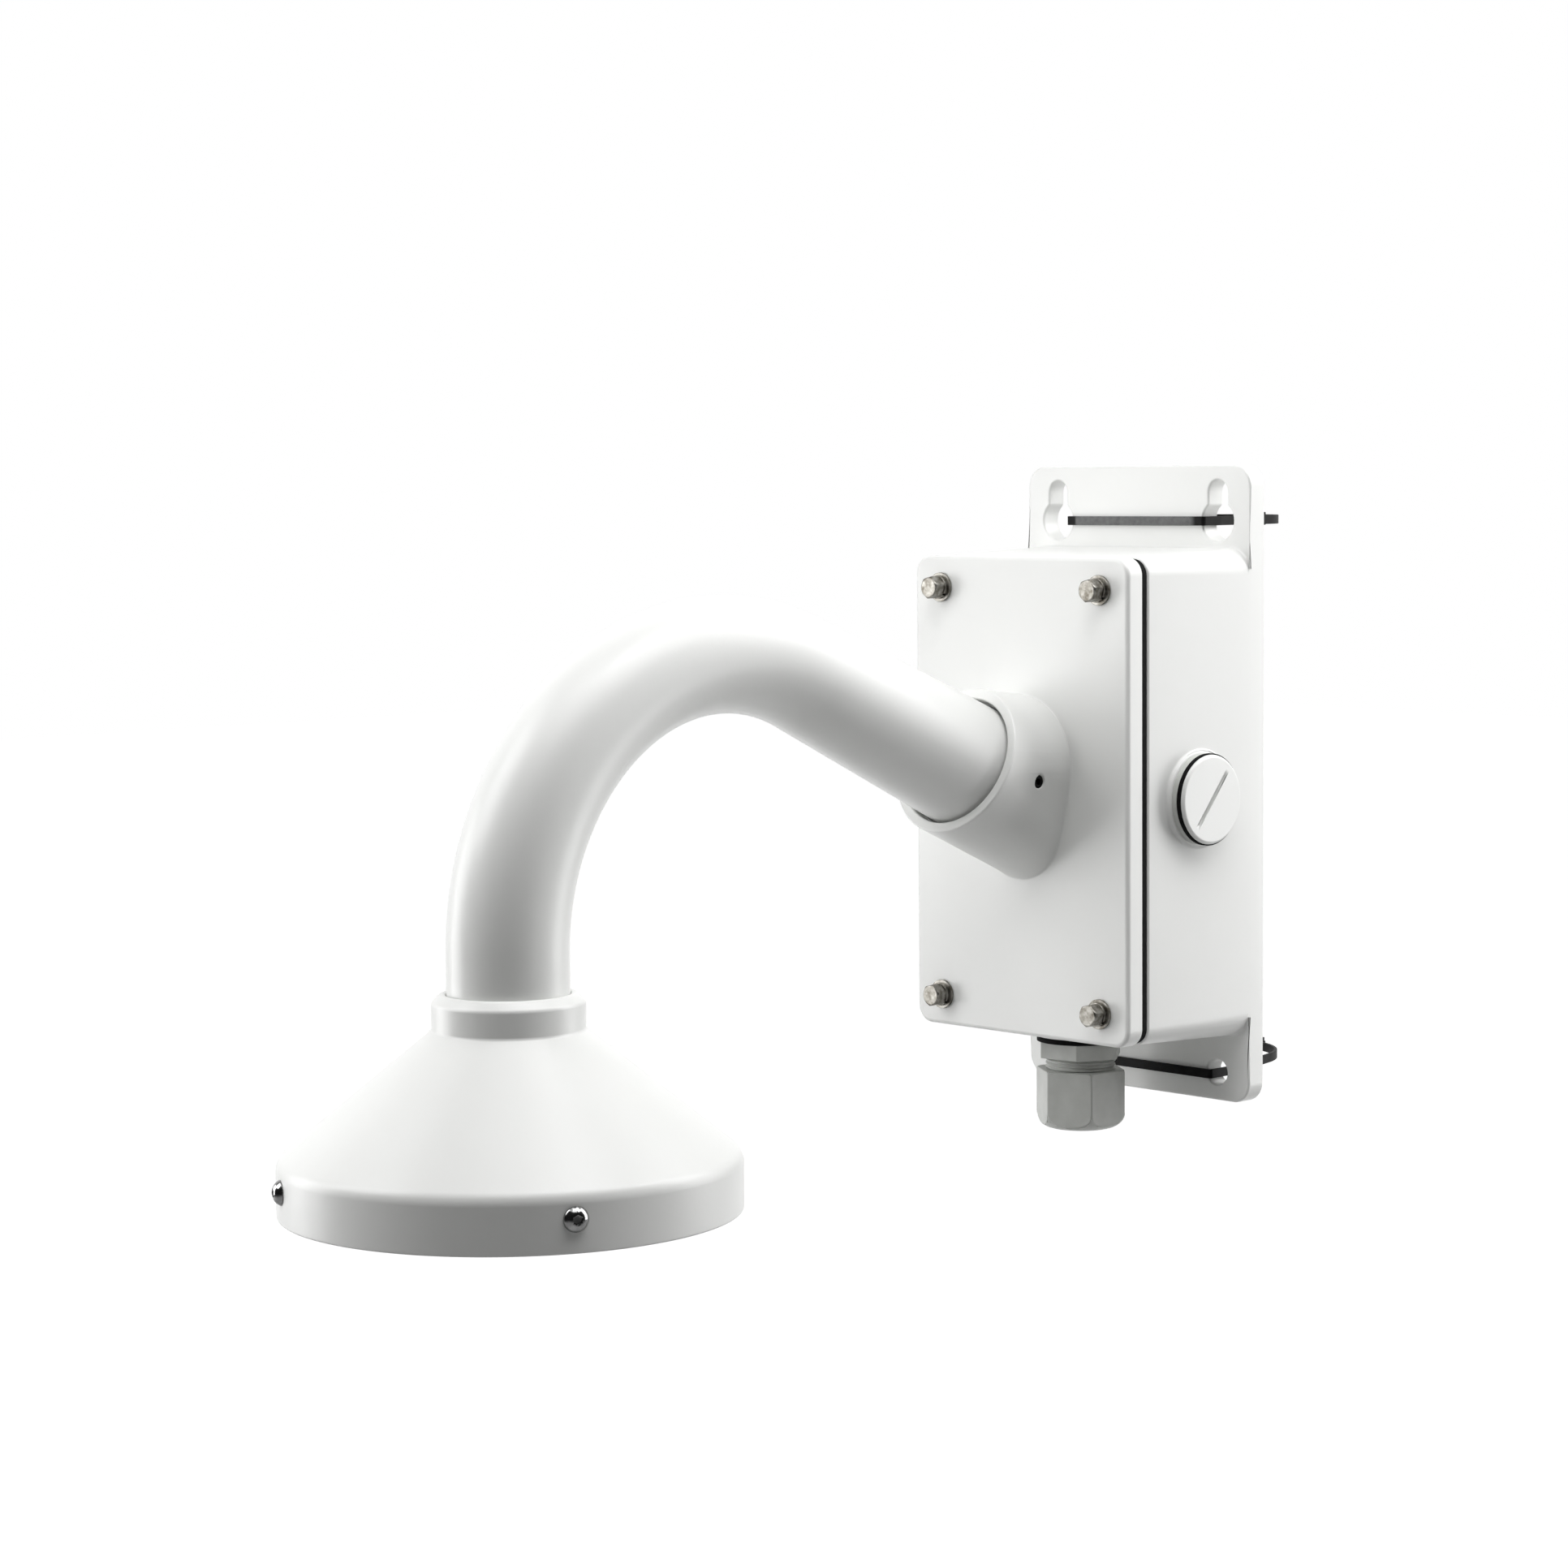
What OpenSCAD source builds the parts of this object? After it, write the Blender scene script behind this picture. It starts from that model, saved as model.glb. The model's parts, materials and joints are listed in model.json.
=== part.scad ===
// Swan-neck bracket for a dome camera: a junction box strapped to a pole, a bent tube and a round cap.
// The origin is on the pole's axis, level with the middle of the box. The camera end points along -Y.

/* [Pole and straps] */
// Outside diameter of the pole that the straps go round
pole_d = 60.3; // [50:0.1:70]
// Width of a strap
strap_w = 4.8; // [3.6:0.1:6]
// Thickness of a strap
strap_t = 1.3; // [1:0.1:1.6]
// Gap between a strap and the plate that it passes
strap_gap = 0.3; // [0.2:0.05:0.5]
// How far the lower strap sits below the centre of its holes
lower_strap_drop = 1; // [0:0.1:1.5]
// Width of a strap's lock head
lock_w = 8; // [7:0.5:10]
// Depth of a strap's lock head
lock_d = 6; // [5:0.5:8]
// Height of a strap's lock head
lock_h = 7; // [6.2:0.1:9]
// Length of the cut tail that stands out of the lock head
tail_l = 3; // [1:0.5:6]
// Gap between the strap and its tail
tail_gap = 1; // [0.5:0.5:2]

/* [Back plate] */
// How far the plate stands out beside the foot of the box
plate_side = 0; // [0:0.2:12]
// Height of the plate's top edge above the box
plate_over = 34.6; // [33:0.2:60]
// Depth of the plate's bottom edge below the box
plate_under = 29; // [27:0.2:60]
// Thickness of the plate
plate_t = 9; // [7:0.5:12]
// Radius of the plate's corners
plate_r = 8; // [4:0.5:12]
// Distance of the fixing holes from the sides of the plate
hole_side = 16.2; // [13:0.1:20]
// Height of the round part of a keyhole above the box
keyhole_over = 12.9; // [11:0.1:16]
// Diameter of the round part of a keyhole
keyhole_d = 15.6; // [13:0.1:17]
// Width of a keyhole's slot
slot_w = 9.4; // [8:0.1:11]
// Distance from the top of a keyhole's slot to the top of the plate
slot_edge = 5.7; // [4:0.1:8]
// Diameter of the two round holes at the bottom
low_hole_d = 10; // [9.4:0.1:12]
// Depth of the round holes below the box
low_hole_under = 17.8; // [16:0.1:20]

/* [Box] */
// Width of the box at its front edge
box_w = 111.8; // [108:0.2:112]
// Height of the box at its front edge
box_h = 186; // [180:0.5:190]
// Depth of the box from the back of the plate to its front edge
box_d = 66; // [60:0.5:80]
// How much each side of the box spreads from its front edge to the plate
box_draft = 2.3; // [1:0.1:2.3]
// Radius of the box's corners at its front edge
box_r = 7; // [5:0.5:10]
// Thickness of the walls of the box
box_wall = 4; // [3:0.5:5]
// Radius of the rounded posts that take the cover's bolts
post_r = 7; // [6:0.5:9]

/* [Cover and gasket] */
// Thickness of the gasket
gasket_t = 3; // [2:0.5:4]
// How far the gasket's edge lies inside the edge of the box
gasket_inset = 0.6; // [0:0.1:1]
// Width of the gasket's sealing band
gasket_w = 6; // [5:0.5:8]
// Thickness of the cover at its edge
cover_t = 8.5; // [7:0.5:12]
// Thickness of the cover's front wall
cover_wall = 4.5; // [4:0.5:6]
// Chamfer along the cover's front edge
cover_chamfer = 1; // [0.5:0.1:1.5]
// Distance of the cover bolts from the sides of the box
bolt_side = 14.3; // [13:0.1:18]
// Distance of the cover bolts from the top and the bottom of the box
bolt_end = 12.3; // [11:0.1:18]
// Thread diameter of the cover bolts
bolt_d = 5; // [4:0.5:6]
// Length of a cover bolt under its head
bolt_l = 30; // [20:1:40]
// Width across the flats of a bolt's head
bolt_af = 8; // [7.5:0.5:10]
// Height of a bolt's head
bolt_head_h = 4.8; // [3:0.2:6]
// Turn of a bolt's head about the bolt
bolt_turn = 15; // [0:5:55]
// Outside diameter of a bolt's washer
washer_d = 11.5; // [10:0.5:14]
// Thickness of a bolt's washer
washer_t = 1.2; // [1:0.1:2]
// Outside diameter of a bolt's spring washer
spring_d = 9.2; // [8.8:0.1:11]
// Thickness of a bolt's spring washer
spring_t = 1.4; // [1:0.1:2]
// Width of the split in a spring washer
spring_split = 1; // [0.5:0.1:2]
// Turn of the split about the bolt
spring_turn = -40; // [-180:5:180]

/* [Arm] */
// Outside diameter of the tube in the bend and at the cap
tube_d = 42.4; // [38:0.1:44]
// Outside diameter of the tube at its root, in the cover's socket
root_d = 48.3; // [46:0.1:49]
// Thickness of the tube's wall
tube_wall = 2.6; // [2:0.1:4]
// Height of the tube's axis above the middle of the box, at the cover's face
arm_z = 0.6; // [-4:0.1:4]
// Angle at which the tube rises from the cover
arm_rise = 24; // [20:0.1:30]
// Length along the tube's axis from the cover's face to the start of the bend
arm_straight = 128.2; // [90:0.1:200]
// Radius of the bend along the tube's axis
bend_r = 98.3; // [80:0.5:130]
// Length of straight tube seen between the bend and the cap
arm_drop = 13.5; // [4:0.5:40]
// Thickness of the socket's ring at its mouth, outside of the tube
mouth_wall = 5.05; // [4.2:0.05:7]
// Length of the socket along its axis, from the cover's face
socket_l = 39; // [36:0.5:45]
// Thickness of the socket's sides beside the tube, where it meets the cover
foot_wall = 2.65; // [2.2:0.05:6]
// Height of the socket above the tube, where it meets the cover
foot_over = 14.75; // [12:0.05:17]
// Depth of the socket below the tube, where it meets the cover
foot_under = 8.15; // [7:0.05:12]
// How much smaller than the tube the rounded bottom of the socket is, where it meets the cover
foot_low_cut = 4.3; // [0:0.1:8]
// Distance along the axis from the cover's face to the shoulder where the tube stops
shoulder_s = 13; // [12:0.5:16]
// Clearance round the tube in its socket and in the cap's collar
tube_gap = 0.2; // [0.1:0.05:0.4]
// Width of the relief round the tube at the socket's mouth
mouth_relief = 1.1; // [0.5:0.1:1.5]
// Thickness of the upright lip at the socket's mouth
lip_t = 2; // [1:0.5:4]
// Depth of the relief round the tube at the socket's mouth
mouth_depth = 6; // [2:0.5:8]
// Diameter of the cable passage through the cover
passage_d = 34; // [20:1:36]
// Distance along the axis from the cover's face to the grub screw
grub_s = 19.5; // [17:0.5:26]
// Thread diameter of the grub screw
grub_d = 5; // [4:0.5:6]
// Length of the grub screw
grub_l = 2.4; // [2:0.1:3]

/* [Camera cap] */
// Outside diameter of the cap's rim
cap_d = 160; // [140:1:200]
// Height of the cap's upright band
band_h = 19; // [16:0.5:30]
// Thickness of the cap's wall
cap_wall = 3; // [2.5:0.1:4]
// Radius of the shoulder where the band meets the cone
shoulder_r = 6; // [2:0.5:8]
// Height of the cone above the band
cone_h = 43.5; // [38:0.5:60]
// Thickness of the collar's wall round the tube
collar_wall = 5.3; // [4:0.1:8]
// Height of the collar above the cone
collar_h = 12.5; // [9:0.5:30]
// Chamfer at the top of the collar
collar_chamfer = 3; // [1:0.5:3.5]
// How far the tube reaches into the cap below the top of the collar
tube_grip = 20; // [12:0.5:24]
// Angle of the first rim screw round the cap, from the front towards +X
rim_screw_a = 66; // [45:0.5:90]
// Number of rim screws
rim_screw_n = 4; // [3:1:6]
// Height of the rim screws above the rim
rim_screw_h = 11.5; // [8:0.5:13]
// Thread diameter of a rim screw
rim_screw_d = 5; // [4:0.5:5]
// Diameter of a rim screw's domed head
rim_head_d = 9; // [8:0.5:10]
// Height of a rim screw's domed head
rim_head_h = 3; // [2:0.5:4]

/* [Blanking plug] */
// Distance of the plug's axis in front of the back of the plate
plug_y = 37.5; // [36:0.5:40]
// How far the plug's head stands out round its shank
plug_ledge = 2.2; // [1.8:0.1:4]
// Thickness of the plug's head
plug_t = 4.5; // [4:0.5:6]
// Diameter of the plug's threaded shank
plug_shank_d = 30; // [26:0.5:30]
// Length of the plug's threaded shank
plug_shank_l = 11; // [9:0.5:14]
// Thickness of the plug's sealing ring
plug_seal_t = 1; // [0.8:0.1:1.5]
// Length of the screwdriver slot
plug_slot_l = 28; // [20:1:30]
// Width of the screwdriver slot
plug_slot_w = 2; // [1.6:0.1:2.6]
// Depth of the screwdriver slot at its middle
plug_slot_h = 2.5; // [1.5:0.1:3]
// Angle of the screwdriver slot to the horizontal
plug_slot_a = 50; // [0:5:90]
// How far the flat pad stands out round the plug's head
plug_pad_w = 1.5; // [1:0.1:4]
// Thickness of the threaded rim inside the wall behind the plug
plug_rim_t = 4; // [2:0.5:6]

/* [Cable gland] */
// Distance of the gland's axis in front of the back of the plate
gland_y = 42.5; // [40:0.5:44]
// How far the pad above the gland stands out round the flat seal
gland_pad_w = 0.75; // [0.5:0.05:3]
// How far the pad stands out below the edge of the box
gland_pad_out = 3.6; // [2.4:0.1:6]
// Thread diameter of the gland
gland_d = 25; // [20:0.5:25]
// Thickness of the gland's flat seal
gland_seal_t = 2; // [1:0.1:2.5]
// Width of the gland's flat seal
gland_seal_w = 4.75; // [4:0.05:6]
// How far the flats of the gland's body stand out round its thread
gland_ledge = 2.5; // [1:0.1:4]
// Height of the hexagon on the gland's body
gland_hex_h = 6.4; // [4:0.2:8]
// Length of neck seen between the hexagon and the cap nut
gland_neck_h = 4.8; // [3:0.2:6]
// How much the neck's radius is larger than the thread's
neck_step = 0.6; // [0.2:0.1:1]
// Thickness of the neck's wall
neck_wall = 3; // [2:0.1:3.5]
// Thickness of the cap nut's wall at its flats
nut_wall = 2.7; // [2:0.1:4]
// Height of the gland's cap nut
nut_h = 23.4; // [20:0.2:26]
// Radius of the rounded foot of the cap nut
nut_round = 7; // [4:0.5:8]
// Chamfer at the upper edge of the cap nut
nut_edge = 0.8; // [0.4:0.1:1.5]
// Clearance round the cable in the hole of the cap nut
nut_hole_gap = 2.5; // [1:0.1:3]
// Diameter of the cable that the gland is for
cable_d = 10; // [6:0.5:11]
// Thickness of the claw ring round the rubber insert
claw_t = 1.4; // [1:0.1:2]
// Width of the slots in the claw ring
claw_slot = 1.2; // [0.8:0.1:2]
// Width of the ledge that the rubber insert stands on
insert_ledge = 2.4; // [1.5:0.1:2.8]
// Thickness of the gland's locknut inside the box
locknut_t = 5; // [4:0.5:6]
// How far the flats of the locknut stand out round the gland's thread
locknut_ledge = 3.5; // [3:0.1:5]
// Length of the gland's thread that stands out of the locknut
gland_tail = 2; // [1:0.5:4]
// Turn of the body's hexagon about the gland's axis
gland_turn = 53; // [0:1:59]
// Turn of the cap nut about the gland's axis
nut_turn = 34; // [0:1:59]

/* [Inside the box] */
// Thread diameter of the earth screw
earth_d = 4; // [4:0.5:5]
// Length of the earth screw under its head
earth_l = 9; // [7:0.5:10]
// Thickness of the washer under the earth screw's head
earth_washer_t = 1; // [0.6:0.1:1.5]
// Height of the earth post above the inside of the back wall
earth_post_h = 8; // [7:0.5:12]
// Distance of the earth screw from the middle, to the left and downwards
earth_off = 30; // [20:1:36]

/* [Fit] */
// Radial clearance of a screw in the thread that it is screwed into
thread_gap = 0.05; // [0.02:0.01:0.1]
// Radial clearance of a screw in a plain hole
hole_gap = 0.3; // [0.2:0.1:0.6]

/* [Hidden] */
$fn = 96;

paint = "whitesmoke";
steel = "silver";
black = "dimgray";
grey_plastic = "darkgray";

// Depths, from the pole forwards
pole_r = pole_d / 2;
plate_back = -pole_r;
plate_front = plate_back - plate_t;
box_front = plate_back - box_d;
gasket_front = box_front - gasket_t;
cover_front = gasket_front - cover_t;
cavity_back = plate_back - box_wall;
taper_l = box_d - plate_t;

// Places on the plate and the cover
foot_x = box_w / 2 + box_draft;
plate_w = 2 * (foot_x + plate_side);
plate_up = box_h / 2 + plate_over;
plate_down = box_h / 2 + plate_under;
hole_x = plate_w / 2 - hole_side;
keyhole_z = box_h / 2 + keyhole_over;
slot_top_z = plate_up - slot_edge;
low_hole_z = box_h / 2 + low_hole_under;
bolt_x = box_w / 2 - bolt_side;
bolt_z = box_h / 2 - bolt_end;
gasket_r = box_r - gasket_w / 3;

// The tube and the cap
tube_r = tube_d / 2;
root_r = root_d / 2;
mouth_d = root_d + 2 * mouth_wall;
foot_w = root_d + 2 * foot_wall;
foot_top = arm_z + root_r + foot_over;
foot_bottom = root_r + foot_under - arm_z;
foot_low_d = root_d - foot_low_cut;
cone_top = band_h + cone_h;
cap_h = cone_top + collar_h;
cap_y = cover_front - arm_straight * cos(arm_rise) - bend_r * (1 + sin(arm_rise));
bend_end_z = arm_z + arm_straight * sin(arm_rise) - bend_r * cos(arm_rise);
rim_z = bend_end_z - arm_drop - cap_h;
cap_r = cap_d / 2;
collar_r = tube_r + collar_wall;

// Places of the plug and the gland on the drafted walls
plug_axis_y = plate_back - plug_y;
plug_face_x = foot_x;
plug_d = plug_shank_d + 2 * plug_ledge;
plug_pad_d = plug_d + 2 * plug_pad_w;
gland_axis_y = plate_back - gland_y;
gland_face_z = -box_h / 2 - gland_pad_out;
gland_seal_d = gland_d + 2 * gland_seal_w;
gland_pad_d = gland_seal_d + 2 * gland_pad_w;

// Parts of the gland, measured downwards from the pad
gland_in_l = box_wall + gland_pad_out + locknut_t + gland_tail;
gland_hex_z = gland_seal_t;
gland_neck_z = gland_hex_z + gland_hex_h;
nut_z = gland_neck_z + gland_neck_h;
neck_r = gland_d / 2 + neck_step;
neck_in = nut_h / 2;
insert_r = neck_r - neck_wall - hole_gap - claw_t;
insert_l = neck_in + gland_neck_h;

// Straps
upper_strap_z = keyhole_z;
lower_strap_z = -low_hole_z - lower_strap_drop;

// Small overlaps that join the pieces of one solid, and the overshoot of a cut
eps = 0.01;
lap = 0.5;
lap_a = 0.5;
leg_lap = 1;
leg_step = 0.1;
cut = 1;

// Rectangle with round corners
module round_rect(w, h, r) {
    square([w, h - 2 * r], center = true);
    square([w - 2 * r, h], center = true);
    for (x = [-1, 1], y = [-1, 1])
        translate([x * (w / 2 - r), y * (h / 2 - r)]) circle(r);
}

// Block with a round-cornered outline that shrinks evenly by taper on each side, from foot to top.
// Its core reaches a little way into what it stands on.
module tapered_block(w, h, r, t, taper) {
    translate([0, 0, -lap]) linear_extrude(t / 2 + lap) round_rect(w, h, r);
    for (x = [-1, 1], y = [-1, 1])
        translate([x * (w / 2 - r), y * (h / 2 - r), 0]) cylinder(h = t, r1 = r + taper, r2 = r);
    rotate([90, 0, 90]) linear_extrude(w - 2 * r, center = true)
        polygon([[-h / 2 - taper, 0], [h / 2 + taper, 0], [h / 2, t], [-h / 2, t]]);
    rotate([90, 0, 0]) linear_extrude(h - 2 * r, center = true)
        polygon([[-w / 2 - taper, 0], [w / 2 + taper, 0], [w / 2, t], [-w / 2, t]]);
}

// Turns a flat drawing upright: its height becomes the depth towards the front, from depth y
module upright(y) {
    translate([0, y, 0]) rotate([90, 0, 0]) children();
}

module at_bolts() {
    for (x = [-1, 1], z = [-1, 1]) translate([x * bolt_x, z * bolt_z]) children();
}

module hex(af, h) {
    cylinder(h = h, r = af / sqrt(3), $fn = 6);
}

// Hexagon with its corners turned down to a cone at the far end
module chamfered_hex(af, h) {
    intersection() {
        hex(af, h);
        union() {
            cylinder(h = h - af / 10, r = af);
            translate([0, 0, h - af / 10]) cylinder(h = af / 10, r1 = af * 0.6, r2 = af * 0.47);
        }
    }
}

// Outline of the two keyholes and the two round holes
module plate_holes() {
    for (x = [-1, 1]) {
        translate([x * hole_x, keyhole_z]) circle(d = keyhole_d);
        translate([x * hole_x, slot_top_z - slot_w / 2]) circle(d = slot_w);
        translate([x * hole_x - slot_w / 2, keyhole_z]) square([slot_w, slot_top_z - slot_w / 2 - keyhole_z]);
        translate([x * hole_x, -low_hole_z]) circle(d = low_hole_d);
    }
}

// Inside of the box, seen from the front, less the posts in its corners
module cavity_outline() {
    difference() {
        round_rect(box_w - 2 * box_wall, box_h - 2 * box_wall, box_r - box_wall / 2);
        for (x = [-1, 1], z = [-1, 1]) {
            translate([x * bolt_x, z * bolt_z]) circle(post_r);
            translate([x * bolt_x, z * (bolt_z + box_h / 4)]) square([2 * post_r, box_h / 2], center = true);
            translate([x * (bolt_x + box_w / 4), z * bolt_z]) square([box_w / 2, 2 * post_r], center = true);
            translate([x * (bolt_x + box_w / 4), z * (bolt_z + box_h / 4)])
                square([box_w / 2, box_h / 2], center = true);
        }
    }
}

module back_box() {
    plate_mid = (plate_up - plate_down) / 2;
    color(paint) difference() {
        union() {
            difference() {
                union() {
                    upright(plate_back) linear_extrude(plate_t) translate([0, plate_mid])
                        round_rect(plate_w, plate_up + plate_down, plate_r);
                    upright(plate_front) tapered_block(box_w, box_h, box_r, taper_l, box_draft);
                    translate([box_w / 2 - box_wall, plug_axis_y, 0]) rotate([0, 90, 0])
                        cylinder(h = box_wall + box_draft, d = plug_pad_d);
                    translate([0, gland_axis_y, gland_face_z])
                        cylinder(h = box_wall + gland_pad_out, d = gland_pad_d);
                }
                upright(cavity_back) linear_extrude(box_d) cavity_outline();
            }
            translate([box_w / 2 - box_wall - plug_rim_t, plug_axis_y, 0]) rotate([0, 90, 0])
                cylinder(h = plug_rim_t + box_wall / 2, d = plug_pad_d);
            translate([-earth_off, cavity_back + eps, -earth_off]) rotate([90, 0, 0])
                cylinder(h = earth_post_h + eps, d = 2.5 * earth_d);
        }
        upright(plate_back + cut) linear_extrude(plate_t + 2 * cut) plate_holes();
        upright(box_front + bolt_l) linear_extrude(bolt_l + cut) at_bolts() circle(bolt_d / 2 + thread_gap);
        translate([box_w / 2 - box_wall - plug_rim_t - cut, plug_axis_y, 0]) rotate([0, 90, 0])
            cylinder(h = box_wall + plug_rim_t + box_draft + 2 * cut, r = plug_shank_d / 2 + thread_gap);
        translate([0, gland_axis_y, gland_face_z - cut])
            cylinder(h = box_wall + gland_pad_out + 2 * cut, r = gland_d / 2 + hole_gap);
        translate([-earth_off, cavity_back - earth_post_h - cut, -earth_off]) rotate([-90, 0, 0])
            cylinder(h = earth_l + cut, r = earth_d / 2 + thread_gap);
    }
}

module cover_gasket() {
    w = box_w - 2 * gasket_inset;
    h = box_h - 2 * gasket_inset;
    color(black) upright(box_front) linear_extrude(gasket_t) difference() {
        round_rect(w, h, box_r - gasket_inset);
        difference() {
            round_rect(w - 2 * gasket_w, h - 2 * gasket_w, gasket_r - gasket_inset);
            at_bolts() circle(post_r);
        }
        at_bolts() circle(bolt_d / 2 + hole_gap);
    }
}

// Places its children on the tube's axis, with Z along the axis from the cover's face
module on_arm() {
    translate([0, cover_front, arm_z]) rotate([90 - arm_rise, 0, 0]) children();
}

// Body of the socket: level on top, sloping with the tube underneath
module socket_body() {
    foot_t = cover_wall / 2;
    hull() {
        on_arm() translate([0, 0, socket_l - lip_t]) cylinder(h = lip_t, d = mouth_d, $fn = 64);
        upright(cover_front + foot_t) {
            translate([0, foot_top - foot_w / 2]) cylinder(h = foot_t, d = foot_w, $fn = 64);
            translate([0, foot_low_d / 2 - foot_bottom]) cylinder(h = foot_t, d = foot_low_d, $fn = 64);
        }
    }
}

module cover() {
    slab = cover_t - cover_chamfer;
    color(paint) difference() {
        union() {
            difference() {
                union() {
                    upright(gasket_front) linear_extrude(slab) round_rect(box_w, box_h, box_r);
                    upright(gasket_front - slab) tapered_block(box_w - 2 * cover_chamfer,
                        box_h - 2 * cover_chamfer, box_r - cover_chamfer, cover_chamfer, cover_chamfer);
                }
                upright(gasket_front + cut) linear_extrude(cover_t - cover_wall + cut) difference() {
                    round_rect(box_w - 2 * gasket_w, box_h - 2 * gasket_w, gasket_r);
                    at_bolts() circle(post_r);
                }
            }
            socket_body();
        }
        on_arm() translate([0, 0, shoulder_s]) cylinder(h = socket_l, r = root_r + tube_gap);
        on_arm() translate([0, 0, socket_l - mouth_depth])
            cylinder(h = mouth_depth + cut, r = root_r + mouth_relief);
        on_arm() translate([0, 0, -socket_l]) cylinder(h = 2 * socket_l, d = passage_d);
        on_arm() translate([0, 0, grub_s]) rotate([0, 90, 0]) cylinder(h = mouth_d, r = grub_d / 2 + thread_gap);
        upright(gasket_front + cut) linear_extrude(cover_t + 2 * cut)
            at_bolts() circle(bolt_d / 2 + hole_gap);
    }
}

module cover_bolts() {
    color(steel) upright(cover_front - washer_t - spring_t) for (x = [-1, 1], z = [-1, 1])
        translate([x * bolt_x, z * bolt_z, 0]) {
            rotate([0, 0, bolt_turn]) chamfered_hex(bolt_af, bolt_head_h);
            translate([0, 0, -bolt_l]) cylinder(h = bolt_l, d = bolt_d);
        }
}

module cover_washers() {
    color(steel) upright(cover_front) linear_extrude(washer_t) at_bolts() difference() {
        circle(d = washer_d);
        circle(bolt_d / 2 + hole_gap);
    }
}

module cover_spring_washers() {
    color(steel) upright(cover_front - washer_t) linear_extrude(spring_t) at_bolts() difference() {
        circle(d = spring_d);
        circle(bolt_d / 2 + hole_gap);
        rotate(spring_turn) translate([0, -spring_split / 2]) square([spring_d, spring_split]);
    }
}

// Run of the tube from its root to its end in the cap, made smaller all round by inset
module tube_run(inset, over) {
    taper_s = socket_l - mouth_depth;
    translate([0, 0, shoulder_s - over]) cylinder(h = taper_s - shoulder_s + over, r = root_r - inset);
    translate([0, 0, taper_s]) cylinder(h = arm_straight - taper_s, r1 = root_r - inset, r2 = tube_r - inset);
    translate([0, -bend_r, arm_straight]) rotate([90, 0, 90]) {
        rotate_extrude(angle = 90 + arm_rise) translate([bend_r, 0]) circle(tube_r - inset);
        rotate([0, 0, 90 + arm_rise]) translate([bend_r, -leg_lap, 0]) rotate([-90, 0, 0])
            cylinder(h = leg_lap + arm_drop + tube_grip + over, r = tube_r - inset - leg_step);
    }
}

module gooseneck_arm() {
    color(paint) on_arm() difference() {
        tube_run(0, 0);
        tube_run(tube_wall, cut);
    }
}

module arm_grub_screw() {
    color(black) on_arm() translate([root_r, 0, grub_s]) rotate([0, 90, 0]) difference() {
        cylinder(h = grub_l, d = grub_d);
        translate([0, 0, grub_l / 3]) hex(grub_d / 2, grub_l);
    }
}

// Points of an arc about c, from angle a to angle b
function arc(c, r, a, b, n = 8) =
    [for (i = [0:n]) c + r * [cos(a + (b - a) * i / n), sin(a + (b - a) * i / n)]];

// Upright band, rounded shoulder and cone, from the rim up to the radius at the top of the cone
function bell(rim_r, band, round_r, top_r, top_z, foot) =
    let (lean = atan2(rim_r - top_r, top_z - band))
    let (centre = [rim_r - round_r, band - round_r * tan(lean / 2)])
    concat([[0, foot], [rim_r, foot]], arc(centre, round_r, 0, lean), [[top_r, top_z], [0, top_z]]);

module camera_cap() {
    slope = atan2(cone_top - band_h, cap_r - collar_r);
    drop = cap_wall / cos(slope);
    inner_r = cap_r - cap_wall;
    ceiling = cone_top - drop;
    color(paint) translate([0, cap_y, rim_z]) difference() {
        rotate_extrude() difference() {
            union() {
                polygon(bell(cap_r, band_h, shoulder_r, collar_r, cone_top, 0));
                square([collar_r, cap_h - collar_chamfer]);
                polygon([[0, cone_top], [collar_r, cap_h - collar_chamfer],
                    [collar_r - collar_chamfer, cap_h], [0, cap_h]]);
            }
            polygon(bell(inner_r, band_h - drop + cap_wall * tan(slope), shoulder_r / 2, collar_r, ceiling, -cut));
            square([tube_r + tube_gap, cap_h + cut]);
        }
        at_rim_screws() translate([0, 0, -2 * cap_wall])
            cylinder(h = 4 * cap_wall, r = rim_screw_d / 2 + thread_gap);
    }
}

// Places its children on the band's outer face, with Z pointing outwards
module at_rim_screws() {
    for (i = [0:rim_screw_n - 1])
        rotate([0, 0, rim_screw_a - 90 + i * 360 / rim_screw_n])
            translate([cap_r, 0, rim_screw_h]) rotate([0, 90, 0]) children();
}

module rim_screws() {
    dome_r = (rim_head_d * rim_head_d / 4 + rim_head_h * rim_head_h) / (2 * rim_head_h);
    color(steel) translate([0, cap_y, rim_z]) at_rim_screws() difference() {
        union() {
            translate([0, 0, -cap_wall + thread_gap]) cylinder(h = cap_wall, d = rim_screw_d);
            intersection() {
                cylinder(h = rim_head_h, d = rim_head_d);
                translate([0, 0, rim_head_h - dome_r]) sphere(dome_r);
            }
        }
        translate([0, 0, rim_head_h / 2]) hex(rim_screw_d * 0.6, rim_head_h);
    }
}

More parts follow.
